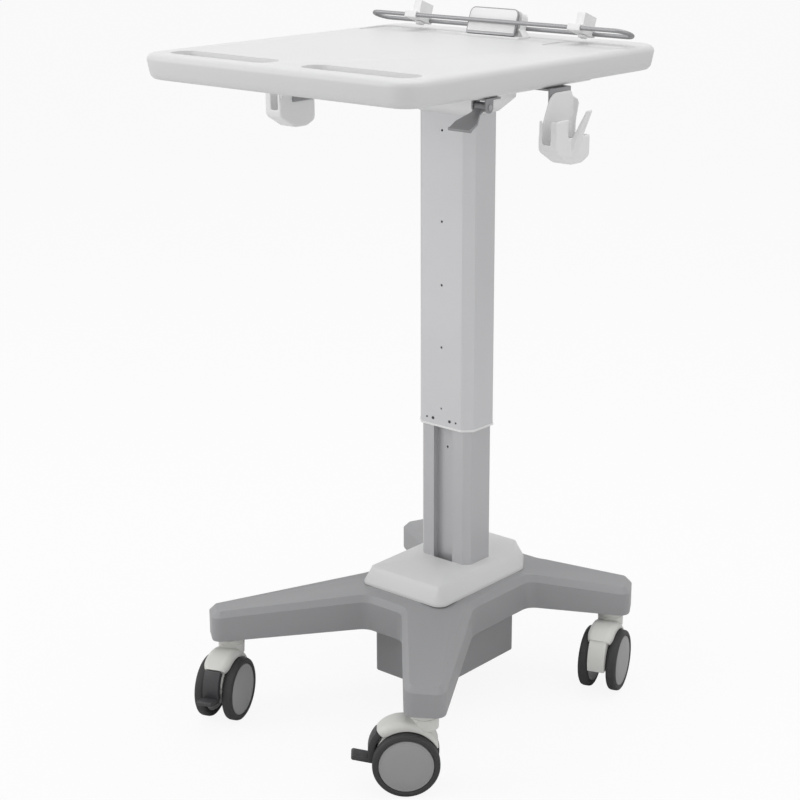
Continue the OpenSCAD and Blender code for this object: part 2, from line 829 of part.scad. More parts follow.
module clip_knob(side) {
    color("#8a8a8c") lean() translate([side * clip_x, knob_s, bar_rise + clip_low - gap]) {
        translate([0, 0, -knob_h]) cylinder(d = knob_d, h = knob_h);
        cylinder(d = knob_stem_d, h = knob_stem_l);
    }
}
module clip_left() { clip(-1); }
module clip_right() { clip(1); }
module clip_knob_left() { clip_knob(-1); }
module clip_knob_right() { clip_knob(1); }

// Side holders: x outwards from the hanger, y from the pouch's middle, z down from the pan
module beside(side) {
    stand() translate([side * hanger_x, holder_y, pan_z]) mirror([side < 0 ? 1 : 0, 0, 0]) children();
}
module holder_hangers() {
    color("#8e8e90") for (side = [-1, 1]) beside(side) {
        translate([-hanger_in, hanger_off - hanger_w / 2, -hanger_t]) cube([hanger_in, hanger_w, hanger_t]);
        translate([-hanger_t, hanger_off - hanger_w / 2, -hanger_h]) cube([hanger_t, hanger_w, hanger_h]);
    }
}
w2 = holder_w / 2;
low_line = [[-w2, -low_left, 10], [low_x_left, -holder_h, 16], [low_x_right, -holder_h, 12]];
function pouch_line(top) =
    concat([[w2, -low_right, 8], [w2, -top, pouch_corner_r], [-w2, -top, pouch_corner_r]], low_line);
back_line = concat(
    [[w2, -low_right, 8], [w2, -back_top, 9], [-w2 / 3, -back_top, arch_r], [-w2, -back_arch, 16]], low_line
);
module facing_out(from, t, pts) {
    translate([from, 0, 0]) rotate([90, 0, 90]) linear_extrude(t) polygon(pts);
}
module holder(side) {
    out = rounded(pouch_line(pouch_top), 4);
    room = inset(rounded(pouch_line(pouch_top - 3 * holder_wall), 4), holder_wall);
    color("#dcdcdc") beside(side) {
        facing_out(0, holder_t, inset(rounded(back_line, 4), holder_wall / 2));
        difference() {
            facing_out(holder_t / 2, holder_deep - holder_t / 2, out);
            facing_out(-over, holder_deep + over - holder_wall, room);
            translate([slot_from, -w2 - over, -pouch_top - slot_deep]) cube([slot_w, slot_in, slot_deep + over]);
            translate([holder_t + ear_out / 2, cut_from, -pouch_top - pouch_cut])
                cube([holder_deep, 2 * w2, pouch_cut + over]);
        }
        translate([0, w2 - holder_wall / 4, 0]) rotate([90, 0, 0]) linear_extrude(holder_wall / 2) polygon([
            [holder_t / 2, -ear_low], [holder_t + ear_out / 3, -ear_low], [holder_t + ear_out, -ear_high],
            [holder_t + ear_out * 0.8, -ear_high + holder_t * 2], [holder_t / 2, -ear_top]
        ]);
        translate([0, finger_w / 2, 0]) rotate([90, 0, 0]) linear_extrude(finger_w) polygon([
            [holder_deep - holder_wall / 2, -finger_low], [holder_deep + finger_t, -finger_bend],
            [holder_deep + finger_out + finger_t, -finger_top - finger_t],
            [holder_deep + finger_out + finger_t / 2, -finger_top],
            [holder_deep + finger_out, -finger_top - finger_t], [holder_deep - holder_wall / 2, -finger_root]
        ]);
    }
}
module holder_left() { holder(-1); }
module holder_right() { holder(1); }

// Casters, in the plane of the fork: x along the trail, y along the axle
module caster(sx, sy, turn) {
    stand() translate([sx * stem_x, sy * stem_y, 0]) rotate([0, 0, turn]) children();
}
module side_view(w) {
    rotate([90, 0, 0]) linear_extrude(w, center = true) children();
}
module wedge(from, to, r) {
    polygon(concat([[0, 0]], [for (i = [0:12]) r * [cos(from + (to - from) * i / 12), sin(from + (to - from) * i / 12)]]));
}
module hood_disc() {
    translate([hood_u, hood_z]) intersection() {
        circle(hood_r);
        wedge(lip_turn, hood_end, 2 * hood_r);
    }
}
module web_shape(r) {
    hood_disc();
    intersection() {
        translate([hood_u, hood_z]) circle(r);
        translate([-neck_d, skirt_z]) square([3 * hood_r, 2 * hood_r]);
    }
    translate([trail, axle_z]) circle(d = axle_boss_d);
}
module fork(brake) {
    neck_top_z = tip_z - washer_h - gap;
    difference() {
        union() {
            translate([0, 0, neck_low_z]) cylinder(d = neck_d, h = neck_top_z - neck_low_z);
            translate([0, 0, neck_foot_z]) linear_extrude(neck_low_z - neck_foot_z + over) intersection() {
                circle(d = neck_d);
                square([2 * neck_d, web_w], center = true);
            }
            side_view(web_w) web_shape(brake ? inner_r : skirt_r);
            side_view(hood_w) difference() {
                hood_disc();
                translate([trail, axle_z]) circle(axle_z + hood_gap);
            }
        }
        translate([0, 0, tip_z - stem_down - gap]) cylinder(d = stem_d + 2 * running, h = 2 * stem_down);
        translate([trail, 0, axle_z]) rotate([90, 0, 0]) cylinder(d = axle_d, h = web_w + 2 * over, center = true);
        if (brake) {
            translate([pedal_u, 0, pedal_z]) {
                rotate([90, 0, 0]) cylinder(d = pedal_pin_d, h = web_w + 2 * over, center = true);
                side_view(lug_w + 2 * gap) {
                    circle(lug_r + 4 * gap);
                    translate([0, -lug_r - 2]) square([hood_r, 2 * lug_r + 4]);
                }
            }
        }
    }
}
module caster_pins(brake) {
    reach = wheel_gap / 2 + wheel_w / 2 - hub_bore_floor - gap;
    translate([trail, 0, axle_z]) rotate([90, 0, 0]) cylinder(d = axle_d, h = 2 * reach, center = true);
    if (brake) translate([pedal_u, 0, pedal_z]) rotate([90, 0, 0]) cylinder(d = pedal_pin_d, h = web_w, center = true);
}
module pedal() {
    difference() {
        union() {
            side_view(pad_w) translate([hood_u, hood_z]) intersection() {
                difference() {
                    circle(pad_out_r);
                    circle(pad_in_r);
                }
                wedge(pad_low, lip_turn - 2, 2 * hood_r);
            }
            side_view(toe_w) translate([toe_from, toe_z]) rotate(toe_turn) {
                translate([-toe_t, -toe_t / 2]) square([toe_to - toe_from + toe_t / 2, toe_t]);
                translate([toe_to - toe_from - toe_t / 2, 0]) circle(d = toe_t);
            }
            translate([pedal_u, 0, pedal_z]) side_view(lug_w) {
                circle(lug_r);
                translate([0, -lug_r * lug_share])
                    square([hood_u + pad_in_r + gap - pedal_u + over, 2 * lug_r * lug_share]);
            }
        }
        translate([pedal_u, 0, pedal_z]) rotate([90, 0, 0])
            cylinder(d = pedal_pin_d + 2 * running, h = lug_w + 2 * over, center = true);
    }
}
module on_axle(side) {
    translate([trail, side * wheel_gap / 2, axle_z]) rotate([-side * 90, 0, 0]) children();
}
module wheel_hub(side) {
    h = wheel_w / 2;
    r = disc_d / 2;
    color("#8a8a8c") on_axle(side) difference() {
        rotate_extrude() polygon([
            [0, -h], [r, -h], [r, h - disc_dome], [r - 2 * disc_dome, h], [r / 2, h + disc_dome / 2],
            [0, h + disc_dome]
        ]);
        translate([0, 0, -h - over]) cylinder(d = axle_d + 2 * running, h = wheel_w + over - hub_bore_floor);
    }
}
module wheel_tyre(side) {
    h = wheel_w / 2;
    r = disc_d / 2;
    color("#3d3d3e") on_axle(side) rotate_extrude() polygon([
        [r, -h], [axle_z - tyre_soft, -h], [axle_z - tyre_soft * soft_out, -h + tyre_soft * soft_in],
        [axle_z, -h + tyre_soft * soft_up], [axle_z, h - tyre_soft * soft_up],
        [axle_z - tyre_soft * soft_out, h - tyre_soft * soft_in], [axle_z - tyre_soft, h], [r, h]
    ]);
}
module fork_fl() { color("#b8b8b4") caster(-1, -1, turn_fl) fork(true); }
module fork_fr() { color("#b8b8b4") caster(1, -1, turn_fr) fork(true); }
module fork_bl() { color("#b8b8b4") caster(-1, 1, turn_bl) fork(false); }
module fork_br() { color("#b8b8b4") caster(1, 1, turn_br) fork(false); }
module pins_fl() { color("#9a9a9c") caster(-1, -1, turn_fl) caster_pins(true); }
module pins_fr() { color("#9a9a9c") caster(1, -1, turn_fr) caster_pins(true); }
module pins_bl() { color("#9a9a9c") caster(-1, 1, turn_bl) caster_pins(false); }
module pins_br() { color("#9a9a9c") caster(1, 1, turn_br) caster_pins(false); }
module pedal_fl() { color("#4a4a4c") caster(-1, -1, turn_fl) pedal(); }
module pedal_fr() { color("#4a4a4c") caster(1, -1, turn_fr) pedal(); }
module hub_fl_l() { caster(-1, -1, turn_fl) wheel_hub(1); }
module hub_fl_r() { caster(-1, -1, turn_fl) wheel_hub(-1); }
module hub_fr_l() { caster(1, -1, turn_fr) wheel_hub(1); }
module hub_fr_r() { caster(1, -1, turn_fr) wheel_hub(-1); }
module hub_bl_l() { caster(-1, 1, turn_bl) wheel_hub(1); }
module hub_bl_r() { caster(-1, 1, turn_bl) wheel_hub(-1); }
module hub_br_l() { caster(1, 1, turn_br) wheel_hub(1); }
module hub_br_r() { caster(1, 1, turn_br) wheel_hub(-1); }
module tyre_fl_l() { caster(-1, -1, turn_fl) wheel_tyre(1); }
module tyre_fl_r() { caster(-1, -1, turn_fl) wheel_tyre(-1); }
module tyre_fr_l() { caster(1, -1, turn_fr) wheel_tyre(1); }
module tyre_fr_r() { caster(1, -1, turn_fr) wheel_tyre(-1); }
module tyre_bl_l() { caster(-1, 1, turn_bl) wheel_tyre(1); }
module tyre_bl_r() { caster(-1, 1, turn_bl) wheel_tyre(-1); }
module tyre_br_l() { caster(1, 1, turn_br) wheel_tyre(1); }
module tyre_br_r() { caster(1, 1, turn_br) wheel_tyre(-1); }

base_casting();
hub_cover();
weight_box();
ballast_block();
foot_plate();
foot_bolts();
caster_stems();
lower_column();
lower_column_cap();
gas_spring_tube();
gas_spring_rod();
upper_column();
column_collar();
glide_bush();
fixing_screws();
support_frame();
head_cover();
underside_pan();
worktop();
lever_bracket();
lever_pin();
release_lever();
bracket_shell();
bracket_core();
bracket_plate();
bracket_rim();
retaining_bar();
clip_left();
clip_right();
clip_knob_left();
clip_knob_right();
holder_left();
holder_right();
holder_hangers();
fork_fl();
fork_fr();
fork_bl();
fork_br();
pins_fl();
pins_fr();
pins_bl();
pins_br();
pedal_fl();
pedal_fr();
hub_fl_l();
hub_fl_r();
hub_fr_l();
hub_fr_r();
hub_bl_l();
hub_bl_r();
hub_br_l();
hub_br_r();
tyre_fl_l();
tyre_fl_r();
tyre_fr_l();
tyre_fr_r();
tyre_bl_l();
tyre_bl_r();
tyre_br_l();
tyre_br_r();
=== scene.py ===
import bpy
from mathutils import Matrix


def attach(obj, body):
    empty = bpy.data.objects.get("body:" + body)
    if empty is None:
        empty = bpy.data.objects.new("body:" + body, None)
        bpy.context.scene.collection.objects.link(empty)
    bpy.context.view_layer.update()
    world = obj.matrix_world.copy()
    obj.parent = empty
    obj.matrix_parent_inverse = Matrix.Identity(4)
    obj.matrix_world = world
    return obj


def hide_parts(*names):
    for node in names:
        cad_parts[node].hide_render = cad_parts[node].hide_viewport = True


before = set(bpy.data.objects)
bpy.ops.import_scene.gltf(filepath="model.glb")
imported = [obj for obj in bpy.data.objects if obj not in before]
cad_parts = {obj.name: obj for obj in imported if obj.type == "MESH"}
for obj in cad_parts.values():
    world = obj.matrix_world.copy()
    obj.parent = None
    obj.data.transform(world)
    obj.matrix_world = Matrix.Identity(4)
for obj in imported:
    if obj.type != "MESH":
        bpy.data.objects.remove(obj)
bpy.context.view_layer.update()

from math import acos, atan2, cos, pi, radians, sin, tan

import bmesh
import bpy
from bpy.props import FloatProperty, FloatVectorProperty, PointerProperty
from mathutils import Matrix, Vector

bl_info = {
    "name": "Medical Laptop Cart",
    "version": (1, 0, 0),
    "blender": (4, 5, 0),
    "location": "View3D > Sidebar > Laptop Cart",
    "description": "Dresses the packed laptop cart with its finished shells, wheels and materials",
    "category": "Object",
}

MM = 0.001
MID_Y = -34.1886             # the row's middle, seen from the base's middle, in mm

# Casters: side and end of the cart, and the angle of the trail in degrees; lengths in mm
CORNERS = {"fl": (-1, -1, -69.0), "fr": (1, -1, -138.5), "bl": (-1, 1, -80.0), "br": (1, 1, -72.0)}
BRAKED = ("fl", "fr")
STEM = (201.0, 238.0)        # stems from the base's middle
AXLE = (28, 50)              # wheel axle from its stem: along the trail, and up
WHEEL_OUT = 23.5             # from the fork's middle plane to a wheel's
HOOD_AT = (32, 62)           # middle of the hood's arcs: along the trail, and up
HOOD_REACH = 53.0            # radius of the hood's outside
WHEEL_CLEAR = 51.4           # radius round the axle that the hood stays clear of
HOOD_SPAN = (43, 166)        # angles where the hood ends at the back and at its lip
HOOD_STEPS = 40
LIP_STEPS = 6                # of those, the ones over which the lip widens
SHOULDER_STEPS = 6
SHOULDER_SHARE = 0.9         # most of the hood's thickness that the shoulder may take
HOOD_WIDTH = 42
LIP_WIDTH = (33, 36)         # with a brake, and without
WEB_REACH = (39.0, 50.5)     # radius of the web between the wheels, with a brake and without
WEB_START = (8, -18)         # angle where its arc starts, with a brake and without
WEB_END = 182
WEB_LOW = 44.0               # lowest point of that arc
WEB_BOSS = 13                # radius of its boss round the axle
WEB_HALF = 14                # half its thickness

# Cast base, in mm round the base's middle
CAST_TOP = (192, 18)         # height of the top edge at the hub, and how far it falls to the leg tips
CAST_FOOT = (136, 9)         # the same for the lower edge
FALL = (100, 125)            # x where the fall starts, and the length that it takes
LEG_TURNS = (52, 30)         # angles of the front and back legs' ends, in degrees
LEG_END = (30, 32)           # half the width of a leg's end, and its reach past the stem
TOE_R = 16                   # corner radius of a leg's end
HUB_AT = (0, 90)             # middle of the hub's flat
HUB_FLAT = (90, 156, 114)    # its half width, and its reach forwards and back
HUB_MOST = 0.985             # most of the outline that the flat may take
CAST_BEVEL = 9               # width and depth of the bevel
CAST_SKIN = 6                # thickness of the sides
CAST_ROOF = (14.5, 9)        # inset of the roof's edge from the outline, and its thickness

# Hub cover, in mm round the base's middle
COVER_AT = (0, 80)           # middle of its flat
COVER_RISE = 13              # inset of the flat's edge from the outline
COVER_HOLE = (50.8, 33.6, 73.8)   # hole for the column: half width, half depth and chamfer

# Screws, in mm in the row's frame
COLUMN_SCREWS = (75.89, 459.17)   # y of the column's front face and height of its lower screws
SCREWS_X = (16.83, 29.32)         # the larger and the smaller screws, from the middle
PAN_SCREWS = (226, 1007)          # x from the middle, and height of the pan's underside
TOP_FRONT_Y = -335                # the worktop's front edge from the base's middle, and its depth
TOP_DEPTH = 584
PAN_SHARES = (0.37, 0.41, 0.5, 0.7)

# Finishing
FLAT_ANGLE = 0.6             # triangles that meet flatter than this, in degrees, are one face
HOLDER_VOXEL = 0.0011        # spacing of the holders' mesh in metres, and how often it is relaxed
HOLDER_ROUNDS = 14

# Stage, in metres
FLOOR_HALF = 12
FLOOR_DROP = 0.0005          # keeps the floor just below the tyres
PAPER_GLOW = 0.9             # how far the floor is lifted to white before the camera, its shadow kept
WORLD_LIGHT = 0.55
LAMPS_AIM = (0, 0, 0.6)
LAMPS = (                    # name, place, size and power in watts
    ("key", (-2.5, -2.8, 2.4), 2.4, 46),
    ("top", (0.2, 0.3, 3.6), 2.6, 38),
    ("fill", (2.8, -0.6, 1.6), 2.2, 9),
)
EYE = (1.7569, -2.0611, 1.3486)
EYE_TURN = (90 - 17.21, 0, 39.98)
LENS = 82.68
LENS_SHIFT = -0.03036


def linear(hex_text):
    """An sRGB hex colour as linear red, green and blue."""
    parts = [int(hex_text[i:i + 2], 16) / 255 for i in (1, 3, 5)]
    return tuple(c / 12.92 if c <= 0.04045 else ((c + 0.055) / 1.055) ** 2.4 for c in parts)


def colour(name, hex_text, what):
    return FloatVectorProperty(name=name, description=what, subtype="COLOR", size=3, min=0, max=1,
                               default=linear(hex_text))


def length(name, mm, what):
    return FloatProperty(name=name, description=what, unit="LENGTH", default=mm * MM, min=0, precision=5)


class CartColours(bpy.types.PropertyGroup):
    """Colours of the cart's finishes"""
    worktop: colour("Worktop", "#DADADA", "Moulded worktop")
    trim: colour("Trim", "#ECECEC", "Light moulded covers, holders and clips")
    cover: colour("Hub cover", "#DCDCDC", "Moulded cover on the base's hub")
    column: colour("Column", "#D2D2D4", "Extruded column tubes")
    mast: colour("Lower column", "#C0C0C2", "Fixed tube of the column")
    base: colour("Base", "#9C9C9E", "Cast base and its weight box")
    metal: colour("Metal", "#98989A", "Retaining bar, lever and hangers")
    steel: colour("Steel", "#B4B4B6", "Pins and stems")
    fork: colour("Caster fork", "#D8D8D4", "Moulded caster forks")
    disc: colour("Wheel disc", "#9A9A9A", "Discs of the wheels")
    pedal: colour("Brake pedal", "#3C3C3E", "Brake pedals of the front casters")
    tread: colour("Tread", "#303031", "Treads of the wheels")
    dark: colour("Dark parts", "#3A3A3C", "Caps and inner parts")
    screw: colour("Screws", "#4C4C4E", "Small screws of the column and the pan")


class CartSizes(bpy.types.PropertyGroup):
    """Small sizes that finish the cart's edges"""
    mould_edge: length("Moulded edge", 1.4, "Edge radius of moulded pieces")
    cast_edge: length("Cast edge", 2.6, "Edge radius of the cast base")
    tube_edge: length("Tube edge", 0.7, "Edge radius of the column's tubes")
    recess_edge: length("Recess edge", 1.3, "Edge radius of the worktop's recesses")
    hood_edge: length("Hood shoulder", 9.0, "Shoulder radius of the caster's hood")
    grain: length("Mould grain", 0.9, "Size of the grain on moulded pieces, drawn coarse enough to show")
    peel: length("Coat texture", 2.2,
                 "Size of the orange peel on coated metal, drawn coarse enough to show")


def values():
    return bpy.context.scene.cart_colours, bpy.context.scene.cart_sizes


# Materials


def add(tree, kind, links=None, **settings):
    """Adds a node with its settings; links gives each input a value or another node's output."""
    made = tree.nodes.new(kind)
    for key, value in settings.items():
        setattr(made, key, value)
    for key, value in (links or {}).items():
        if isinstance(value, bpy.types.NodeSocket):
            tree.links.new(value, made.inputs[key])
        else:
            made.inputs[key].default_value = value
    return made


def finish(name, rgb, rough, size, bump, mottle, metallic=0.0, stretch=(1, 1, 1)):
    """A surface of one colour with mottling, fine relief of a real size and uneven polish."""
    made = bpy.data.materials.new(name)
    made.use_nodes = True
    tree = made.node_tree
    shader = tree.nodes["Principled BSDF"]
    place = add(tree, "ShaderNodeTexCoord")
    turned = add(tree, "ShaderNodeMapping", {"Vector": place.outputs["Object"], "Scale": stretch})
    grain = add(tree, "ShaderNodeTexNoise", {"Vector": turned.outputs[0], "Scale": 1 / size,
                                             "Detail": 3.0})
    cloud = add(tree, "ShaderNodeTexNoise", {"Vector": place.outputs["Object"], "Scale": 9.0,
                                             "Detail": 4.0})
    low = tuple(c * (1 - mottle) for c in rgb) + (1,)
    high = tuple(min(c * (1 + mottle), 1) for c in rgb) + (1,)
    mixed = add(tree, "ShaderNodeMix", {0: cloud.outputs["Fac"], 6: low, 7: high}, data_type="RGBA")
    fine = add(tree, "ShaderNodeMapRange", {"Value": grain.outputs["Fac"], "To Min": 1 - mottle,
                                            "To Max": 1 + mottle})
    tinted = add(tree, "ShaderNodeVectorMath", {0: mixed.outputs[2], "Scale": fine.outputs[0]},
                 operation="SCALE")
    tree.links.new(tinted.outputs[0], shader.inputs["Base Color"])
    polish = add(tree, "ShaderNodeMapRange", {"Value": cloud.outputs["Fac"], "To Min": rough - 0.05,
                                              "To Max": rough + 0.07})
    tree.links.new(polish.outputs[0], shader.inputs["Roughness"])
    relief = add(tree, "ShaderNodeBump", {"Height": grain.outputs["Fac"], "Strength": 1.0,
                                          "Distance": bump * MM})
    tree.links.new(relief.outputs[0], shader.inputs["Normal"])
    shader.inputs["Metallic"].default_value = metallic
    return made


def make_materials():
    tones, sizes = values()
    g, p = sizes.grain, sizes.peel
    made = {
        # ABS shell, moulded with a fine spark-eroded grain: soft, even highlights
        "worktop": finish("moulded_abs_white", tones.worktop, 0.42, g, 0.012, 0.012),
        "trim": finish("moulded_abs_light_grey", tones.trim, 0.42, g, 0.014, 0.014),
        "cover": finish("moulded_abs_pale_grey", tones.cover, 0.46, g, 0.014, 0.016),
        # powder coat on aluminium extrusion: a slight orange peel breaks the highlight
        "column": finish("powder_coated_aluminium", tones.column, 0.40, p, 0.010, 0.014, 0.5),
        "mast": finish("powder_coated_mast", tones.mast, 0.42, p, 0.010, 0.014, 0.5),
        # powder coat on an aluminium casting: coarser peel and a duller sheen
        "base": finish("powder_coated_casting", tones.base, 0.45, p, 0.022, 0.02),
        # satin metal, drawn and brushed along X: long, narrow streaks
        "metal": finish("brushed_aluminium", tones.metal, 0.44, 0.0008, 0.006, 0.03, 0.6, (0.05, 1, 1)),
        # zinc-plated steel: small, cool, slightly cloudy highlights
        "steel": finish("zinc_plated_steel", tones.steel, 0.30, 0.0015, 0.006, 0.03, 1.0),
        # glass-filled nylon: a dry, faintly speckled surface
        "fork": finish("moulded_nylon_grey", tones.fork, 0.44, g, 0.016, 0.018),
        "disc": finish("moulded_nylon_disc", tones.disc, 0.50, g, 0.016, 0.02),
        "pedal": finish("moulded_polypropylene_dark", tones.pedal, 0.52, g, 0.02, 0.05),
        # polyurethane tread: dull, with fine scuffs from the floor
        "tread": finish("polyurethane_tread", tones.tread, 0.62, 0.0016, 0.03, 0.09),
        # screw heads drawn dark grey, with a small soft highlight
        "screw": finish("blackened_steel", tones.screw, 0.38, 0.0015, 0.004, 0.03, 0.6),
        "dark": finish("moulded_abs_black", tones.dark, 0.48, g, 0.014, 0.03),
    }
    return made


def material(name):
    if "moulded_abs_white" not in bpy.data.materials:
        for key, value in make_materials().items():
            value["cart_finish"] = key
    return next(m for m in bpy.data.materials if m.get("cart_finish") == name)


# Outlines and skins, as in the CAD source but with finer arcs; all in mm round the base's middle


def corner_arc(p, q, s, r, n):
    """The arc of this radius that rounds the corner q between p and s."""
    a = (Vector(p) - Vector(q)).normalized()
    b = (Vector(s) - Vector(q)).normalized()
    half = acos(max(-1, min(1, a.dot(b)))) / 2
    c = Vector(q) + (a + b).normalized() * (r / sin(half))
    u = Vector(q) + a * (r / tan(half)) - c
    v = Vector(q) + b * (r / tan(half)) - c
    a0 = atan2(u.y, u.x)
    turn = (atan2(v.y, v.x) - a0 + 3 * pi) % (2 * pi) - pi
    return [c + Vector((cos(a0 + turn * i / n), sin(a0 + turn * i / n))) * r for i in range(n + 1)]


def rounded(points, n):
    """An outline of (x, y, radius) corners, each rounded in n steps."""
    out = []
    for i, (x, y, r) in enumerate(points):
        before, after = points[i - 1], points[(i + 1) % len(points)]
        out += corner_arc(before[:2], (x, y), after[:2], r, n)
    return out


def inset(points, d):
    """The outline moved inwards by d."""
    out = []
    for i, p in enumerate(points):
        t = (points[(i + 1) % len(points)] - points[i - 1]).normalized()
        out.append(p + Vector((-t.y, t.x)) * d)
    return out


def level(points, z):
    return [Vector((p.x, p.y, z)) for p in points]


def mesh_from(bm, name):
    bmesh.ops.recalc_face_normals(bm, faces=bm.faces)
    mesh = bpy.data.meshes.new(name)
    bm.to_mesh(mesh)
    bm.free()
    made = bpy.data.objects.new(name, mesh)
    bpy.context.scene.collection.objects.link(made)
    return made


def loft(name, rings, closed=False):
    """A skin through rings of equal length, in mm round the base's middle, as an object in metres."""
    bm = bmesh.new()
    rows = [[bm.verts.new((p[0] * MM, (p[1] - MID_Y) * MM, p[2] * MM)) for p in ring] for ring in rings]
    pairs = list(zip(rows, rows[1:])) + ([(rows[-1], rows[0])] if closed else [])
    for a, b in pairs:
        for i in range(len(a)):
            j = (i + 1) % len(a)
            bm.faces.new((a[i], a[j], b[j], b[i]))
    if not closed:
        bm.faces.new(rows[0])
        bm.faces.new(rows[-1])
    return mesh_from(bm, name)


def turned(name, profile, at, axis, steps=96):
    """A closed profile of (radius, height) in mm, turned about an axis through a point in metres."""
    way = Vector(axis).normalized()
    side = way.orthogonal().normalized()
    third = way.cross(side)
    bm = bmesh.new()
    rings = []
    for r, h in profile:
        middle = Vector(at) + way * h * MM
        if r < 1e-6:
            rings.append([bm.verts.new(middle)])
            continue
        rings.append([bm.verts.new(middle + (side * cos(a) + third * sin(a)) * r * MM)
                      for a in (2 * pi * i / steps for i in range(steps))])
    pairs = list(zip(rings, rings[1:]))
    if len(rings[0]) > 1:
        pairs.append((rings[-1], rings[0]))
    for a, b in pairs:
        for i in range(steps):
            j = (i + 1) % steps
            ring = [a[i % len(a)], a[j % len(a)], b[j % len(b)], b[i % len(b)]]
            ring = [v for k, v in enumerate(ring) if v not in ring[:k]]
            if len(ring) > 2:
                bm.faces.new(ring)
    return mesh_from(bm, name)


def dress(made, finish_name, body, nodes=(), edge=0.0, steps=3, sharp=38.0):
    """Rounds a piece's edges, gives it its material and sets it on its body."""
    made.data.materials.clear()
    made.data.materials.append(material(finish_name))
    made.data.shade_smooth()
    if edge:
        round_off = made.modifiers.new("edges", "BEVEL")
        round_off.width = edge
        round_off.segments = steps
        round_off.limit_method = "ANGLE"
        round_off.angle_limit = radians(sharp)
        round_off.harden_normals = True
    else:
        made.data.set_sharp_from_angle(angle=radians(sharp))
    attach(made, body)
    if nodes:
        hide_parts(*nodes)
    return made


def copy_of(node, name):
    """A clean copy of a CAD node's shape: its loose triangles merged, and its flat faces whole."""
    bm = bmesh.new()
    bm.from_mesh(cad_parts[node].data)
    bmesh.ops.remove_doubles(bm, verts=bm.verts, dist=1e-6)
    bmesh.ops.dissolve_limit(bm, angle_limit=radians(FLAT_ANGLE), verts=bm.verts, edges=bm.edges)
    return mesh_from(bm, name)


def shell(node, finish_name, body, edge=0.0, steps=3, sharp=38.0):
    """The CAD node's shape with rounded edges and its material."""
    return dress(copy_of(node, node + "_shell"), finish_name, body, (node,), edge, steps, sharp)


def softened(made, voxel, rounds):
    """Rounds a moulded piece all over: it is remeshed evenly and then relaxed."""
    remesh = made.modifiers.new("even", "REMESH")
    remesh.mode = "VOXEL"
    remesh.voxel_size = voxel
    relax = made.modifiers.new("relaxed", "SMOOTH")
    relax.factor = 0.5
    relax.iterations = rounds
    mesh = bpy.data.meshes.new_from_object(made.evaluated_get(bpy.context.evaluated_depsgraph_get()))
    made.modifiers.clear()
    made.data = mesh
    return made


def paint(nodes, finish_name):
    """Gives CAD nodes, left as they are, their material."""
    for name in nodes:
        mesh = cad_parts[name].data
        mesh.materials.clear()
        mesh.materials.append(material(finish_name))


# Base


def drop(x):
    """How much of the fall towards the leg tips has been made at this x."""
    return min(max((abs(x) - FALL[0]) / FALL[1], 0), 1)


def base_ring(points, high, low, up):
    """The outline at the top edge's height (high) or the lower edge's (low), raised by up."""
    return [Vector((p.x, p.y, (CAST_FOOT[0] - CAST_FOOT[1] * drop(p.x)) * low
                    + (CAST_TOP[0] - CAST_TOP[1] * drop(p.x)) * high + up)) for p in points]


def base_outline(n):
    def tip(side, turn):
        axis = Vector((cos(radians(turn)), side * sin(radians(turn))))
        across = Vector((-axis.y, axis.x)) * LEG_END[0]
        end = Vector((STEM[0], side * STEM[1])) + axis * LEG_END[1]
        return end - across, end + across
    front, back = tip(-1, LEG_TURNS[0]), tip(1, LEG_TURNS[1])
    half = [(36, -98, 28), (*front[0], TOE_R), (*front[1], TOE_R), (108, -9.8, 60), (108, 136.16, 28),
            (*back[0], TOE_R), (*back[1], TOE_R), (75.6, 215, 28)]
    return rounded(half + [(-x, y, r) for x, y, r in reversed(half)], n)


class CART_OT_base(bpy.types.Operator):
    """Make the cast base with its weight box"""
    bl_idname = "cart.base"
    bl_label = "Base"

    def execute(self, context):
        line = base_outline(8)
        hub = Vector(HUB_AT)
        wide, forwards, backwards = HUB_FLAT

        def clipped(points):
            out = []
            for p in points:
                v = p - hub
                share = 1 / Vector((v.x / wide, v.y / (forwards if v.y < 0 else backwards))).length
                out.append(hub + v * min(HUB_MOST, share))
            return out
        sizes = values()[1]
        bevel = inset(line, CAST_BEVEL)
        roof = inset(line, CAST_ROOF[0])
        inner = inset(line, CAST_SKIN)
        rings = [
            base_ring(clipped(bevel), 1, 0, 0), base_ring(bevel, 1, 0, 0),
            base_ring(line, 1, 0, -CAST_BEVEL),
            base_ring(line, 0, 1, 2.5), base_ring(inset(line, 0.7), 0, 1, 0.7),
            base_ring(inset(line, 2.5), 0, 1, 0), base_ring(inner, 0, 1, 0), base_ring(inner, 1, 0, -15),
            base_ring(roof, 1, 0, -CAST_ROOF[1]), base_ring(clipped(roof), 1, 0, -CAST_ROOF[1]),
        ]
        dress(loft("base_shell", rings), "base", "root", ("base_casting",),
              sizes.cast_edge, 3, 24)
        shell("weight_box", "base", "root", sizes.mould_edge)
        paint(["ballast_block", "foot_plate"], "base")
        paint(["foot_bolts", "caster_stems"], "steel")
        return {"FINISHED"}


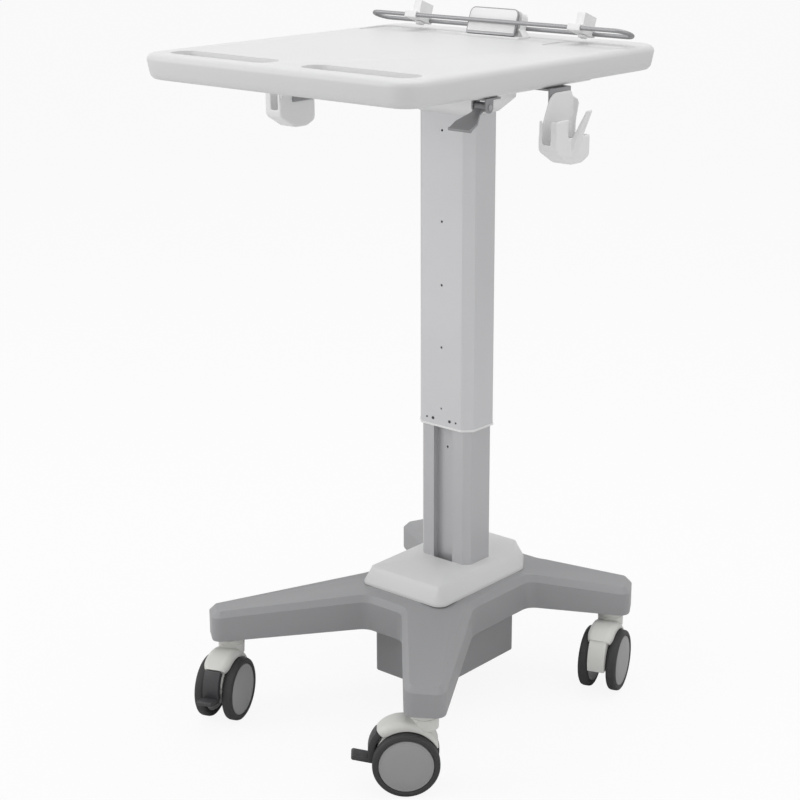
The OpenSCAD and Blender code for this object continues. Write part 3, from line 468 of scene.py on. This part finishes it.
class CART_OT_hub_cover(bpy.types.Operator):
    """Make the moulded cover on the base's hub"""
    bl_idname = "cart.hub_cover"
    bl_label = "Hub cover"

    def execute(self, context):
        line = rounded([(84, -61, 17), (84, 152, 26), (47, 203, 26), (-47, 203, 26), (-84, 152, 26),
                        (-84, -61, 17)], 8)
        rise = inset(line, COVER_RISE)
        middle = Vector(COVER_AT)
        half_width, half_depth, chamfer = COVER_HOLE
        near = []
        for p in rise:
            v = p - middle
            near.append(middle + v / max(abs(v.x) / half_width, abs(v.y) / half_depth,
                                         (abs(v.x) + abs(v.y)) / chamfer))
        # heights run from the hole's lower edge over the flat and the bevel to the foot and back inside
        rings = [
            level(near, 205), level(near, 221), level(inset(rise, 1.5), 220.6), level(rise, 220),
            level(inset(line, 9.5), 212.5), level(inset(line, 1.2), 197.2), level(line, 194.5),
            level(line, 192), level(inset(line, 3), 192), level(inset(line, 3), 194), level(rise, 205),
        ]
        dress(loft("hub_cover_shell", rings, closed=True), "cover", "root", ("hub_cover",),
              0, 0, 50)
        return {"FINISHED"}


class CART_OT_column(bpy.types.Operator):
    """Finish the telescopic column"""
    bl_idname = "cart.column"
    bl_label = "Column"

    def execute(self, context):
        edge = values()[1].tube_edge
        shell("upper_column", "column", "lift", 0, 0, 20)
        shell("lower_column", "mast", "root", 0, 0, 20)
        shell("column_collar", "trim", "lift", edge / 2, 2, 20)
        shell("head_cover", "trim", "lift", edge, 2, 60)
        paint(["lower_column_cap", "gas_spring_tube"], "dark")
        paint(["gas_spring_rod"], "steel")
        paint(["glide_bush"], "trim")
        paint(["support_frame"], "base")
        return {"FINISHED"}


class CART_OT_worktop(bpy.types.Operator):
    """Finish the worktop and the pan below it"""
    bl_idname = "cart.worktop"
    bl_label = "Worktop"

    def execute(self, context):
        sizes = values()[1]
        shell("worktop", "worktop", "lift", sizes.recess_edge, 4, 36)
        shell("underside_pan", "trim", "lift", sizes.mould_edge)
        return {"FINISHED"}


class CART_OT_lever(bpy.types.Operator):
    """Finish the release lever and its bracket"""
    bl_idname = "cart.lever"
    bl_label = "Release lever"

    def execute(self, context):
        edge = values()[1].tube_edge
        shell("lever_bracket", "metal", "lift", edge / 2, 2)
        shell("release_lever", "metal", "lever", edge, 2)
        paint(["lever_pin"], "steel")
        return {"FINISHED"}


class CART_OT_bracket(bpy.types.Operator):
    """Finish the laptop bracket at the back of the worktop"""
    bl_idname = "cart.bracket"
    bl_label = "Laptop bracket"

    def execute(self, context):
        sizes = values()[1]
        shell("bracket_shell", "trim", "lift", sizes.mould_edge)
        shell("bracket_plate", "trim", "lift", sizes.tube_edge / 2, 2, 50)
        shell("bracket_rim", "metal", "lift", sizes.tube_edge / 2, 2, 50)
        paint(["bracket_core"], "dark")
        return {"FINISHED"}


class CART_OT_bar(bpy.types.Operator):
    """Finish the retaining bar, its clips and their knobs"""
    bl_idname = "cart.bar"
    bl_label = "Retaining bar"

    def execute(self, context):
        edge = values()[1].mould_edge
        shell("retaining_bar", "metal", "bar")
        for side in ("left", "right"):
            shell("clip_" + side, "trim", side + "_clip", edge)
            shell("clip_knob_" + side, "trim", side + "_knob", edge / 2)
        return {"FINISHED"}


class CART_OT_holders(bpy.types.Operator):
    """Finish the two side holders and their hangers"""
    bl_idname = "cart.holders"
    bl_label = "Side holders"

    def execute(self, context):
        sizes = values()[1]
        for side in ("left", "right"):
            copied = copy_of("holder_" + side, "holder_%s_shell" % side)
            dress(softened(copied, HOLDER_VOXEL, HOLDER_ROUNDS), "trim", "lift",
                  ("holder_" + side,), 0, 0, 60)
        shell("holder_hangers", "metal", "lift", sizes.tube_edge / 2, 2)
        return {"FINISHED"}


# Casters


def caster_place(key):
    """A caster's stem point and the unit vectors along its trail and its axle, in metres."""
    sx, sy, angle = CORNERS[key]
    a = radians(angle)
    stem = Vector((sx * STEM[0], sy * STEM[1] - MID_Y, 0)) * MM
    return stem, Vector((cos(a), sin(a), 0)), Vector((-sin(a), cos(a), 0))


def hood(name, key, width, lip_width):
    """The caster's hood: a crescent over the wheels whose shoulders are rounded."""
    stem, trail, axle = caster_place(key)
    shoulder = values()[1].hood_edge / MM
    centre = Vector(HOOD_AT)
    to_hub = centre - Vector(AXLE)
    bm = bmesh.new()
    rows = []
    for i in range(HOOD_STEPS + 1):
        angle = radians(HOOD_SPAN[0] + (HOOD_SPAN[1] - HOOD_SPAN[0]) * i / HOOD_STEPS)
        way = Vector((cos(angle), sin(angle)))
        b = way.dot(to_hub)
        low = -b + (b * b - to_hub.length_squared + WHEEL_CLEAR * WHEEL_CLEAR) ** 0.5
        lip = min(i / LIP_STEPS, 1)
        half = (lip_width + (width - lip_width) * (lip * (2 - lip))) / 2
        r = min(shoulder, (HOOD_REACH - low) * SHOULDER_SHARE)
        turns = [pi / 2 * k / SHOULDER_STEPS for k in range(SHOULDER_STEPS + 1)]
        ring = [(-half, low)]
        ring += [(-half + r - r * cos(t), HOOD_REACH - r + r * sin(t)) for t in turns]
        ring += [(half - r + r * sin(t), HOOD_REACH - r + r * cos(t)) for t in turns]
        ring += [(half, low)]
        rows.append([bm.verts.new(stem + (trail * (centre.x + way.x * d) + axle * v
                                          + Vector((0, 0, centre.y + way.y * d))) * MM) for v, d in ring])
    for a, b in zip(rows, rows[1:]):
        for k in range(len(a)):
            j = (k + 1) % len(a)
            bm.faces.new((a[k], a[j], b[j], b[k]))
    bm.faces.new(rows[0])
    bm.faces.new(rows[-1])
    return mesh_from(bm, name)


def plate(name, key, outline, half):
    """A flat piece in the fork's plane: an outline of (trail, height) in mm, this thick either way."""
    stem, trail, axle = caster_place(key)
    bm = bmesh.new()
    sides = [[bm.verts.new(stem + (trail * u + axle * v + Vector((0, 0, z))) * MM) for u, z in outline]
             for v in (-half, half)]
    bm.faces.new(sides[0])
    bm.faces.new(sides[1])
    for i in range(len(outline)):
        j = (i + 1) % len(outline)
        bm.faces.new((sides[0][i], sides[0][j], sides[1][j], sides[1][i]))
    return mesh_from(bm, name)


def ring_points(u, z, r, start, end, n):
    """Points of an arc in the fork's plane; angles in degrees."""
    return [(u + r * cos(radians(start + (end - start) * i / n)),
             z + r * sin(radians(start + (end - start) * i / n))) for i in range(n + 1)]


class CART_OT_forks(bpy.types.Operator):
    """Make the casters' forks: neck, hood and the web between the wheels"""
    bl_idname = "cart.forks"
    bl_label = "Caster forks"

    def execute(self, context):
        edge = values()[1].mould_edge
        for key in CORNERS:
            stem = caster_place(key)[0]
            body = "caster_" + key
            kind = 0 if key in BRAKED else 1
            parts = [hood("hood_" + key, key, HOOD_WIDTH, LIP_WIDTH[kind])]
            groove = [(0, 100), (20.2, 100), (20.8, 117.6), (19.9, 118.2), (19.9, 119.4), (20.8, 120),
                      (20.8, 124.6), (20, 125.7), (0, 125.7)]
            parts.append(turned("neck_" + key, groove, stem, (0, 0, 1), 64))
            web = ring_points(*HOOD_AT, WEB_REACH[kind], WEB_START[kind], WEB_END, 40)
            web = [(u, max(z, WEB_LOW)) for u, z in web] + [(-20.4, WEB_LOW), (14, WEB_LOW)]
            web += ring_points(*AXLE, WEB_BOSS, 207, 333, 12)
            parts.append(plate("web_" + key, key, web, WEB_HALF))
            dress(parts[0], "fork", body, ("fork_" + key,), edge * 0.6, 2, 50)
            dress(parts[1], "fork", body, (), 0, 0, 30)
            dress(parts[2], "fork", body, (), edge, 3, 50)
            paint(["pins_" + key], "steel")
        return {"FINISHED"}


class CART_OT_brakes(bpy.types.Operator):
    """Finish the brake pedals of the front casters"""
    bl_idname = "cart.brakes"
    bl_label = "Brake pedals"

    def execute(self, context):
        for key in BRAKED:
            shell("pedal_" + key, "pedal", "brake_" + key, values()[1].mould_edge, 3, 44)
        return {"FINISHED"}


class CART_OT_wheels(bpy.types.Operator):
    """Turn the wheels' discs and treads"""
    bl_idname = "cart.wheels"
    bl_label = "Wheels"

    def execute(self, context):
        disc = [(0, -8.4), (40, -8.4), (40.7, -7), (40.7, 6.4), (40.1, 7.4), (38.6, 7.9), (37.4, 7.6),
                (36.8, 8), (20, 9.2), (0, 9.7)]
        tread = [(41, -8.2), (44.5, -8.4), (47.3, -7.9), (49.1, -6.6), (49.9, -4.4), (50, -1.5), (50, 1.5),
                 (49.9, 4.4), (49.1, 6.6), (47.3, 7.9), (44.5, 8.4), (42.6, 8.2), (41.4, 7.4), (41, 6.4)]
        for key in CORNERS:
            stem, trail, axle = caster_place(key)
            for side, way in (("l", 1), ("r", -1)):
                at = (stem + trail * AXLE[0] * MM + axle * way * WHEEL_OUT * MM
                      + Vector((0, 0, AXLE[1] * MM)))
                body = "wheel_%s_%s" % (key, side)
                tail = "_%s_%s" % (key, side)
                dress(turned("disc" + tail, disc, at, axle * way, 96), "disc", body,
                      ("hub" + tail,), 0, 0, 30)
                dress(turned("tread" + tail, tread, at, axle * way, 128), "tread", body,
                      ("tyre" + tail,), 0, 0, 60)
        return {"FINISHED"}


# Screws, set out by Geometry Nodes


def screw_tree():
    """A node tree that sets a screw head on every point of a mesh, facing one way, and joins them."""
    tree = bpy.data.node_groups.new("screws_on_points", "GeometryNodeTree")
    for name, socket in (("Geometry", "NodeSocketGeometry"), ("Head", "NodeSocketObject"),
                         ("Way", "NodeSocketVector"), ("Material", "NodeSocketMaterial")):
        tree.interface.new_socket(name, in_out="INPUT", socket_type=socket)
    tree.interface.new_socket("Geometry", in_out="OUTPUT", socket_type="NodeSocketGeometry")
    inside = add(tree, "NodeGroupInput")
    head = add(tree, "GeometryNodeObjectInfo", {"Object": inside.outputs["Head"]})
    turn = add(tree, "FunctionNodeAlignRotationToVector", {"Vector": inside.outputs["Way"]}, axis="Z")
    placed = add(tree, "GeometryNodeInstanceOnPoints", {
        "Points": inside.outputs["Geometry"], "Instance": head.outputs["Geometry"],
        "Rotation": turn.outputs[0]})
    real = add(tree, "GeometryNodeRealizeInstances", {"Geometry": placed.outputs[0]})
    coated = add(tree, "GeometryNodeSetMaterial", {"Geometry": real.outputs[0],
                                                   "Material": inside.outputs["Material"]})
    add(tree, "NodeGroupOutput", {"Geometry": coated.outputs[0]})
    return tree


def set_out(name, points, way, radius, height, tree):
    """Sets a screw at each point, given in mm in the row's frame, as one plain mesh."""
    profile = [(0, 0.4 * height), (0.42 * radius, 0.4 * height), (0.42 * radius, height),
               (0.8 * radius, height), (radius, 0.6 * height), (radius, 0), (0, 0)]
    head = turned("screw_head", profile, (0, 0, 0), (0, 0, 1), 24)
    bm = bmesh.new()
    for p in points:
        bm.verts.new(Vector(p) * MM)
    seeds = mesh_from(bm, name + "_seeds")
    setter = seeds.modifiers.new("screws", "NODES")
    setter.node_group = tree
    sockets = {s.name: s.identifier for s in tree.interface.items_tree if s.in_out == "INPUT"}
    setter[sockets["Head"]] = head
    setter[sockets["Way"]] = way
    setter[sockets["Material"]] = material("screw")
    mesh = bpy.data.meshes.new_from_object(seeds.evaluated_get(bpy.context.evaluated_depsgraph_get()))
    for spent in (seeds, head):
        bpy.data.objects.remove(spent)
    made = bpy.data.objects.new(name, mesh)
    bpy.context.scene.collection.objects.link(made)
    return made


class CART_OT_screws(bpy.types.Operator):
    """Set out the small screws of the column and the pan"""
    bl_idname = "cart.screws"
    bl_label = "Screws"

    def execute(self, context):
        tree = screw_tree()
        face, row = COLUMN_SCREWS
        side, under = PAN_SCREWS
        wide, narrow = ([(s * x, face, row) for s in (-1, 1)] for x in SCREWS_X)
        pan = [(s * side, TOP_FRONT_Y + share * TOP_DEPTH - MID_Y, under)
               for s in (-1, 1) for share in PAN_SHARES]
        groups = (("screws_column", wide, (0, -1, 0), 2.5, 0.8),
                  ("screws_small", narrow, (0, -1, 0), 1.5, 0.8),
                  ("screws_pan", pan, (0, 0, -1), 2.5, 1.6))
        for name, points, way, radius, height in groups:
            dress(set_out(name, points, way, radius, height, tree), "screw", "lift",
                  ("fixing_screws",), 0, 0, 40)
        return {"FINISHED"}


# Stage


class CART_OT_stage(bpy.types.Operator):
    """Make the floor, the studio light and the camera"""
    bl_idname = "cart.stage"
    bl_label = "Stage"

    def execute(self, context):
        scene = context.scene
        bm = bmesh.new()
        bmesh.ops.create_grid(bm, x_segments=8, y_segments=8, size=FLOOR_HALF)
        floor = mesh_from(bm, "studio_floor")
        floor.data.transform(Matrix.Translation((0, 0, -FLOOR_DROP)))
        made = bpy.data.materials.new("studio_paper")
        made.use_nodes = True
        tree = made.node_tree
        paper = tree.nodes["Principled BSDF"]
        paper.inputs["Base Color"].default_value = (*linear("#EDEDED"), 1)
        paper.inputs["Roughness"].default_value = 0.9
        path = add(tree, "ShaderNodeLightPath")
        glow = add(tree, "ShaderNodeEmission", {"Color": (1, 1, 1, 1), "Strength": 1.0})
        share = add(tree, "ShaderNodeMath", {0: path.outputs["Is Camera Ray"], 1: PAPER_GLOW},
                    operation="MULTIPLY")
        both = add(tree, "ShaderNodeMixShader", {0: share.outputs[0], 1: paper.outputs[0],
                                                 2: glow.outputs[0]})
        tree.links.new(both.outputs[0], tree.nodes["Material Output"].inputs["Surface"])
        floor.data.materials.append(made)
        world = bpy.data.worlds.new("studio")
        scene.world = world
        world.use_nodes = True
        tree = world.node_tree
        tree.nodes.clear()
        path = add(tree, "ShaderNodeLightPath")
        seen = add(tree, "ShaderNodeMath", {0: path.outputs["Is Camera Ray"],
                                            1: path.outputs["Is Glossy Ray"]}, operation="MAXIMUM")
        seen = add(tree, "ShaderNodeMath", {0: seen.outputs[0], 1: path.outputs["Is Transmission Ray"]},
                   operation="MAXIMUM")
        dim = add(tree, "ShaderNodeBackground", {"Color": (1, 1, 1, 1), "Strength": WORLD_LIGHT})
        white = add(tree, "ShaderNodeBackground", {"Color": (1, 1, 1, 1), "Strength": 1.0})
        both = add(tree, "ShaderNodeMixShader", {0: seen.outputs[0], 1: dim.outputs[0],
                                                 2: white.outputs[0]})
        add(tree, "ShaderNodeOutputWorld", {"Surface": both.outputs[0]})
        for name, at, size, power in LAMPS:
            lamp = bpy.data.lights.new(name, "AREA")
            lamp.shape = "SQUARE"
            lamp.size = size
            lamp.energy = power
            held = bpy.data.objects.new(name, lamp)
            scene.collection.objects.link(held)
            held.location = at
            held.rotation_euler = (Vector(LAMPS_AIM) - Vector(at)).to_track_quat("-Z", "Y").to_euler()
        camera = bpy.data.cameras.new("photo_view")
        camera.sensor_width = 36
        camera.lens = LENS
        camera.shift_x = LENS_SHIFT
        camera.clip_end = 50
        eye = bpy.data.objects.new("photo_view", camera)
        scene.collection.objects.link(eye)
        eye.location = EYE
        eye.rotation_euler = [radians(turn) for turn in EYE_TURN]
        scene.camera = eye
        scene.view_settings.view_transform = "Standard"
        return {"FINISHED"}


STEPS = (CART_OT_base, CART_OT_hub_cover, CART_OT_column, CART_OT_worktop, CART_OT_lever, CART_OT_bracket,
         CART_OT_bar, CART_OT_holders, CART_OT_forks, CART_OT_brakes, CART_OT_wheels, CART_OT_screws,
         CART_OT_stage)


class CART_PT_panel(bpy.types.Panel):
    """Lists the steps that dress the cart"""
    bl_idname = "CART_PT_panel"
    bl_label = "Medical Laptop Cart"
    bl_space_type = "VIEW_3D"
    bl_region_type = "UI"
    bl_category = "Laptop Cart"

    def draw(self, context):
        for group in (context.scene.cart_colours, context.scene.cart_sizes):
            for name in group.__annotations__:
                self.layout.prop(group, name)
        for step in STEPS:
            self.layout.operator(step.bl_idname)


CLASSES = (CartColours, CartSizes, *STEPS, CART_PT_panel)


def register():
    for cls in CLASSES:
        bpy.utils.register_class(cls)
    bpy.types.Scene.cart_colours = PointerProperty(type=CartColours)
    bpy.types.Scene.cart_sizes = PointerProperty(type=CartSizes)


def unregister():
    del bpy.types.Scene.cart_sizes
    del bpy.types.Scene.cart_colours
    for cls in reversed(CLASSES):
        bpy.utils.unregister_class(cls)


def main():
    register()
    for step in STEPS:
        group, name = step.bl_idname.split(".")
        getattr(getattr(bpy.ops, group), name)()


if __name__ == "__main__":
    main()
